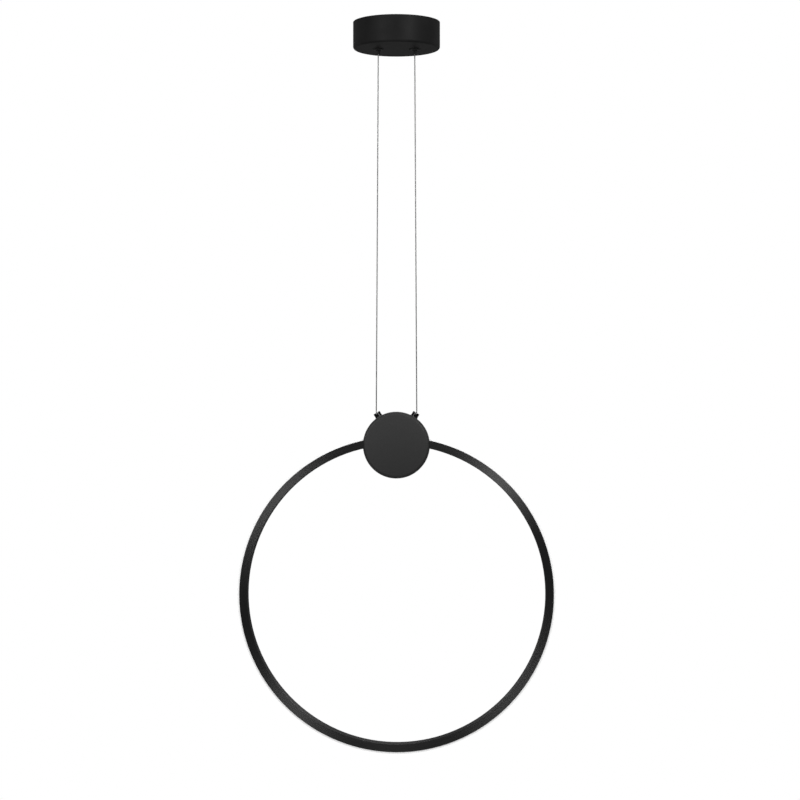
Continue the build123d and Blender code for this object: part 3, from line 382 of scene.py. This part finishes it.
def coil_springs():
    """The grippers' springs, which shorten towards their caps as the plungers are pressed."""
    for side in SIDES:
        coil = f"gripper_spring_{side}"
        spring = add(f"coil_spring_{side}", frame["nodes"][coil].data.copy())
        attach(spring, "canopy")
        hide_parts(coil)
        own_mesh(spring)


def route_points(controls):
    """Points along the smooth line that a route's control points give."""
    curve = bpy.data.curves.new("route", "CURVE")
    curve.dimensions = "3D"
    spline = curve.splines.new("NURBS")
    spline.points.add(len(controls) - 1)
    for point, control in zip(spline.points, controls):
        point.co = (*control, 1.0)
    spline.order_u = 3
    spline.use_endpoint_u = True
    spline.resolution_u = ROUTE_STEPS
    guide = add("route", curve)
    line = bpy.data.meshes.new_from_object(guide)
    path = [vertex.co.copy() for vertex in line.vertices]
    bpy.data.meshes.remove(line)
    bpy.data.objects.remove(guide)
    return path


def run_lengths(path):
    """How far along a path each of its points is."""
    runs = [0.0]
    for start, end in zip(path, path[1:]):
        runs.append(runs[-1] + (end - start).length)
    return runs


def wire_rim(build, point, run):
    """Vertices of one section of a wire: it has a crown for each strand and turns once in each lay."""
    rim = []
    for k in range(WIRE_SIDES):
        crown = abs(math.sin(math.pi * STRANDS * k / WIRE_SIDES))
        radius = WIRE_D / 2 - FURROW * (1 - crown)
        turn = math.tau * (k / WIRE_SIDES + run / STRAND_LAY)
        rim.append(build.verts.new(point + radius * Vector((math.cos(turn), math.sin(turn), 0))))
    return rim


def stranded_wire(name, path, runs):
    """Closed tube along a path, with a UV map that goes round it and along its strands."""
    build = bmesh.new()
    unwrap = build.loops.layers.uv.new("lay")
    rims = [wire_rim(build, point, run) for point, run in zip(path, runs)]
    for i, (upper, lower) in enumerate(zip(rims, rims[1:])):
        for k in range(WIRE_SIDES):
            n = (k + 1) % WIRE_SIDES
            face = build.faces.new((upper[k], upper[n], lower[n], lower[k]))
            corners = [(k, i), (k + 1, i), (k + 1, i + 1), (k, i + 1)]
            for loop, (side, step) in zip(face.loops, corners):
                loop[unwrap].uv = (side / WIRE_SIDES, runs[step])
    build.faces.new(rims[0])
    build.faces.new(rims[-1])
    bmesh.ops.recalc_face_normals(build, faces=build.faces)
    mesh = bpy.data.meshes.new(name)
    build.to_mesh(mesh)
    build.free()
    mesh.shade_smooth()
    mesh.materials.append(FINISHES["wire_steel"])
    return add(name, mesh)


def hang_wires():
    """The two taut wires, which shorten towards the grippers as the lamp is raised."""
    for side, sign in SIDES.items():
        mirror = Vector((sign, 1, 1))
        controls = [point * mirror for point in (WIRE_TOP, WIRE_UPPER, WIRE_LOWER, WIRE_FOOT)]
        path = route_points(controls)
        runs = run_lengths(path)
        wire = stranded_wire(f"stranded_wire_{side}", path, runs)
        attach(wire, "suspension")
        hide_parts(f"wire_{side}")
        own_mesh(wire)


def make_camera():
    data = bpy.data.cameras.new("camera")
    data.lens = LENS
    data.clip_end = VIEW_REACH
    camera = add("camera", data)
    camera.location = CAMERA_PLACE
    camera.rotation_euler = (CAMERA_AIM - CAMERA_PLACE).to_track_quat("-Z", "Y").to_euler()
    bpy.context.scene.camera = camera


def seen_white(tree, rearward, white_from):
    """Sockets: 1 for a ray that shows the surroundings, and how white they are to it.

    They are white to the eye and through glass; in a gloss they dim towards the front of the room.
    """
    path = tree.nodes.new("ShaderNodeLightPath").outputs
    dim = node(tree, "ShaderNodeMapRange", From_Max=white_from, To_Min=ROOM)
    dim.interpolation_type = "SMOOTHSTEP"
    link(tree, rearward, dim.inputs["Value"])
    clear = sums(tree, "MAXIMUM", path["Is Camera Ray"], path["Is Transmission Ray"])
    shows = sums(tree, "MAXIMUM", clear, path["Is Glossy Ray"])
    return shows, sums(tree, "MAXIMUM", clear, dim.outputs["Result"])


def make_world():
    """Even light from all round, in front of white surroundings."""
    world = bpy.data.worlds.new("studio")
    world.use_nodes = True
    tree = world.node_tree
    aim = tree.nodes.new("ShaderNodeTexCoord").outputs["Generated"]
    shows, white = seen_white(tree, split(tree, aim)["Y"], SKY_WHITE_FROM)
    strength = sums(tree, "MULTIPLY_ADD", shows, sums(tree, "SUBTRACT", white, AMBIENT), AMBIENT)
    sky = tree.nodes["Background"]
    sky.inputs["Color"].default_value = tone(1.0)
    link(tree, strength, sky.inputs["Strength"])
    bpy.context.scene.world = world


def floor_finish():
    """Pale matte floor that takes shadows near the lamp and fades to white away from it."""
    finish = Finish("floor", colour=tone(FLOOR_GREY), roughness=FLOOR_ROUGHNESS, Specular_IOR_Level=0.0)
    tree = finish.tree
    flat = node(tree, "ShaderNodeVectorMath", operation="MULTIPLY")
    flat.inputs[1].default_value = (1, 1, 0)
    link(tree, finish.place, flat.inputs[0])
    reach = node(tree, "ShaderNodeVectorMath", operation="LENGTH")
    link(tree, flat.outputs[0], reach.inputs[0])
    fade = node(tree, "ShaderNodeMapRange", From_Min=FLOOR_NEAR, From_Max=FLOOR_FAR, To_Min=FLOOR_PALE)
    fade.interpolation_type = "SMOOTHSTEP"
    link(tree, reach.outputs["Value"], fade.inputs["Value"])
    shows, white = seen_white(tree, split(tree, finish.place)["Y"], FLOOR_WHITE_FROM)
    glow = node(tree, "ShaderNodeEmission", Color=tone(1.0))
    link(tree, white, glow.inputs["Strength"])
    mixed = tree.nodes.new("ShaderNodeMixShader")
    link(tree, sums(tree, "MULTIPLY", fade.outputs["Result"], shows), mixed.inputs["Fac"])
    link(tree, finish.shader.outputs[0], mixed.inputs[1])
    link(tree, glow.outputs[0], mixed.inputs[2])
    link(tree, mixed.outputs[0], tree.nodes["Material Output"].inputs["Surface"])
    return finish.material


def make_floor():
    half = FLOOR_SIZE / 2
    mesh = bpy.data.meshes.new("floor")
    signs = ((-1, -1), (1, -1), (1, 1), (-1, 1))
    mesh.from_pydata([(x * half, y * half, FLOOR_Z) for x, y in signs], [], [(0, 1, 2, 3)])
    mesh.materials.append(floor_finish())
    floor = add("floor", mesh)


def softbox(name, azimuth, elevation, distance, width, height, radiance):
    """Area lamp at an azimuth to the right of the front and an elevation, aimed at the object."""
    turn = math.radians(azimuth)
    rise = math.radians(elevation)
    towards = Vector((math.sin(turn) * math.cos(rise), -math.cos(turn) * math.cos(rise), math.sin(rise)))
    data = bpy.data.lights.new(name, "AREA")
    data.shape = "RECTANGLE"
    data.size = width
    data.size_y = height
    data.energy = radiance * math.pi * width * height
    lamp = add(name, data)
    lamp.location = STAGE_CENTRE + towards * distance
    lamp.rotation_euler = (-towards).to_track_quat("-Z", "Y").to_euler()
    lamp.visible_camera = False


def make_lights():
    softbox("key_right", azimuth=35, elevation=24, distance=1.9, width=0.40, height=0.50, radiance=23.0)
    softbox("key_left", azimuth=-35, elevation=14, distance=1.9, width=0.40, height=0.90, radiance=10.5)
    softbox("top", azimuth=0, elevation=62, distance=1.9, width=0.60, height=0.40, radiance=8.0)
    softbox("rear", azimuth=180, elevation=40, distance=2.8, width=1.2, height=1.2, radiance=2.0)


dress_nodes()
coil_springs()
hang_wires()
make_camera()
make_world()
make_floor()
make_lights()
bpy.context.scene.view_settings.view_transform = "Standard"
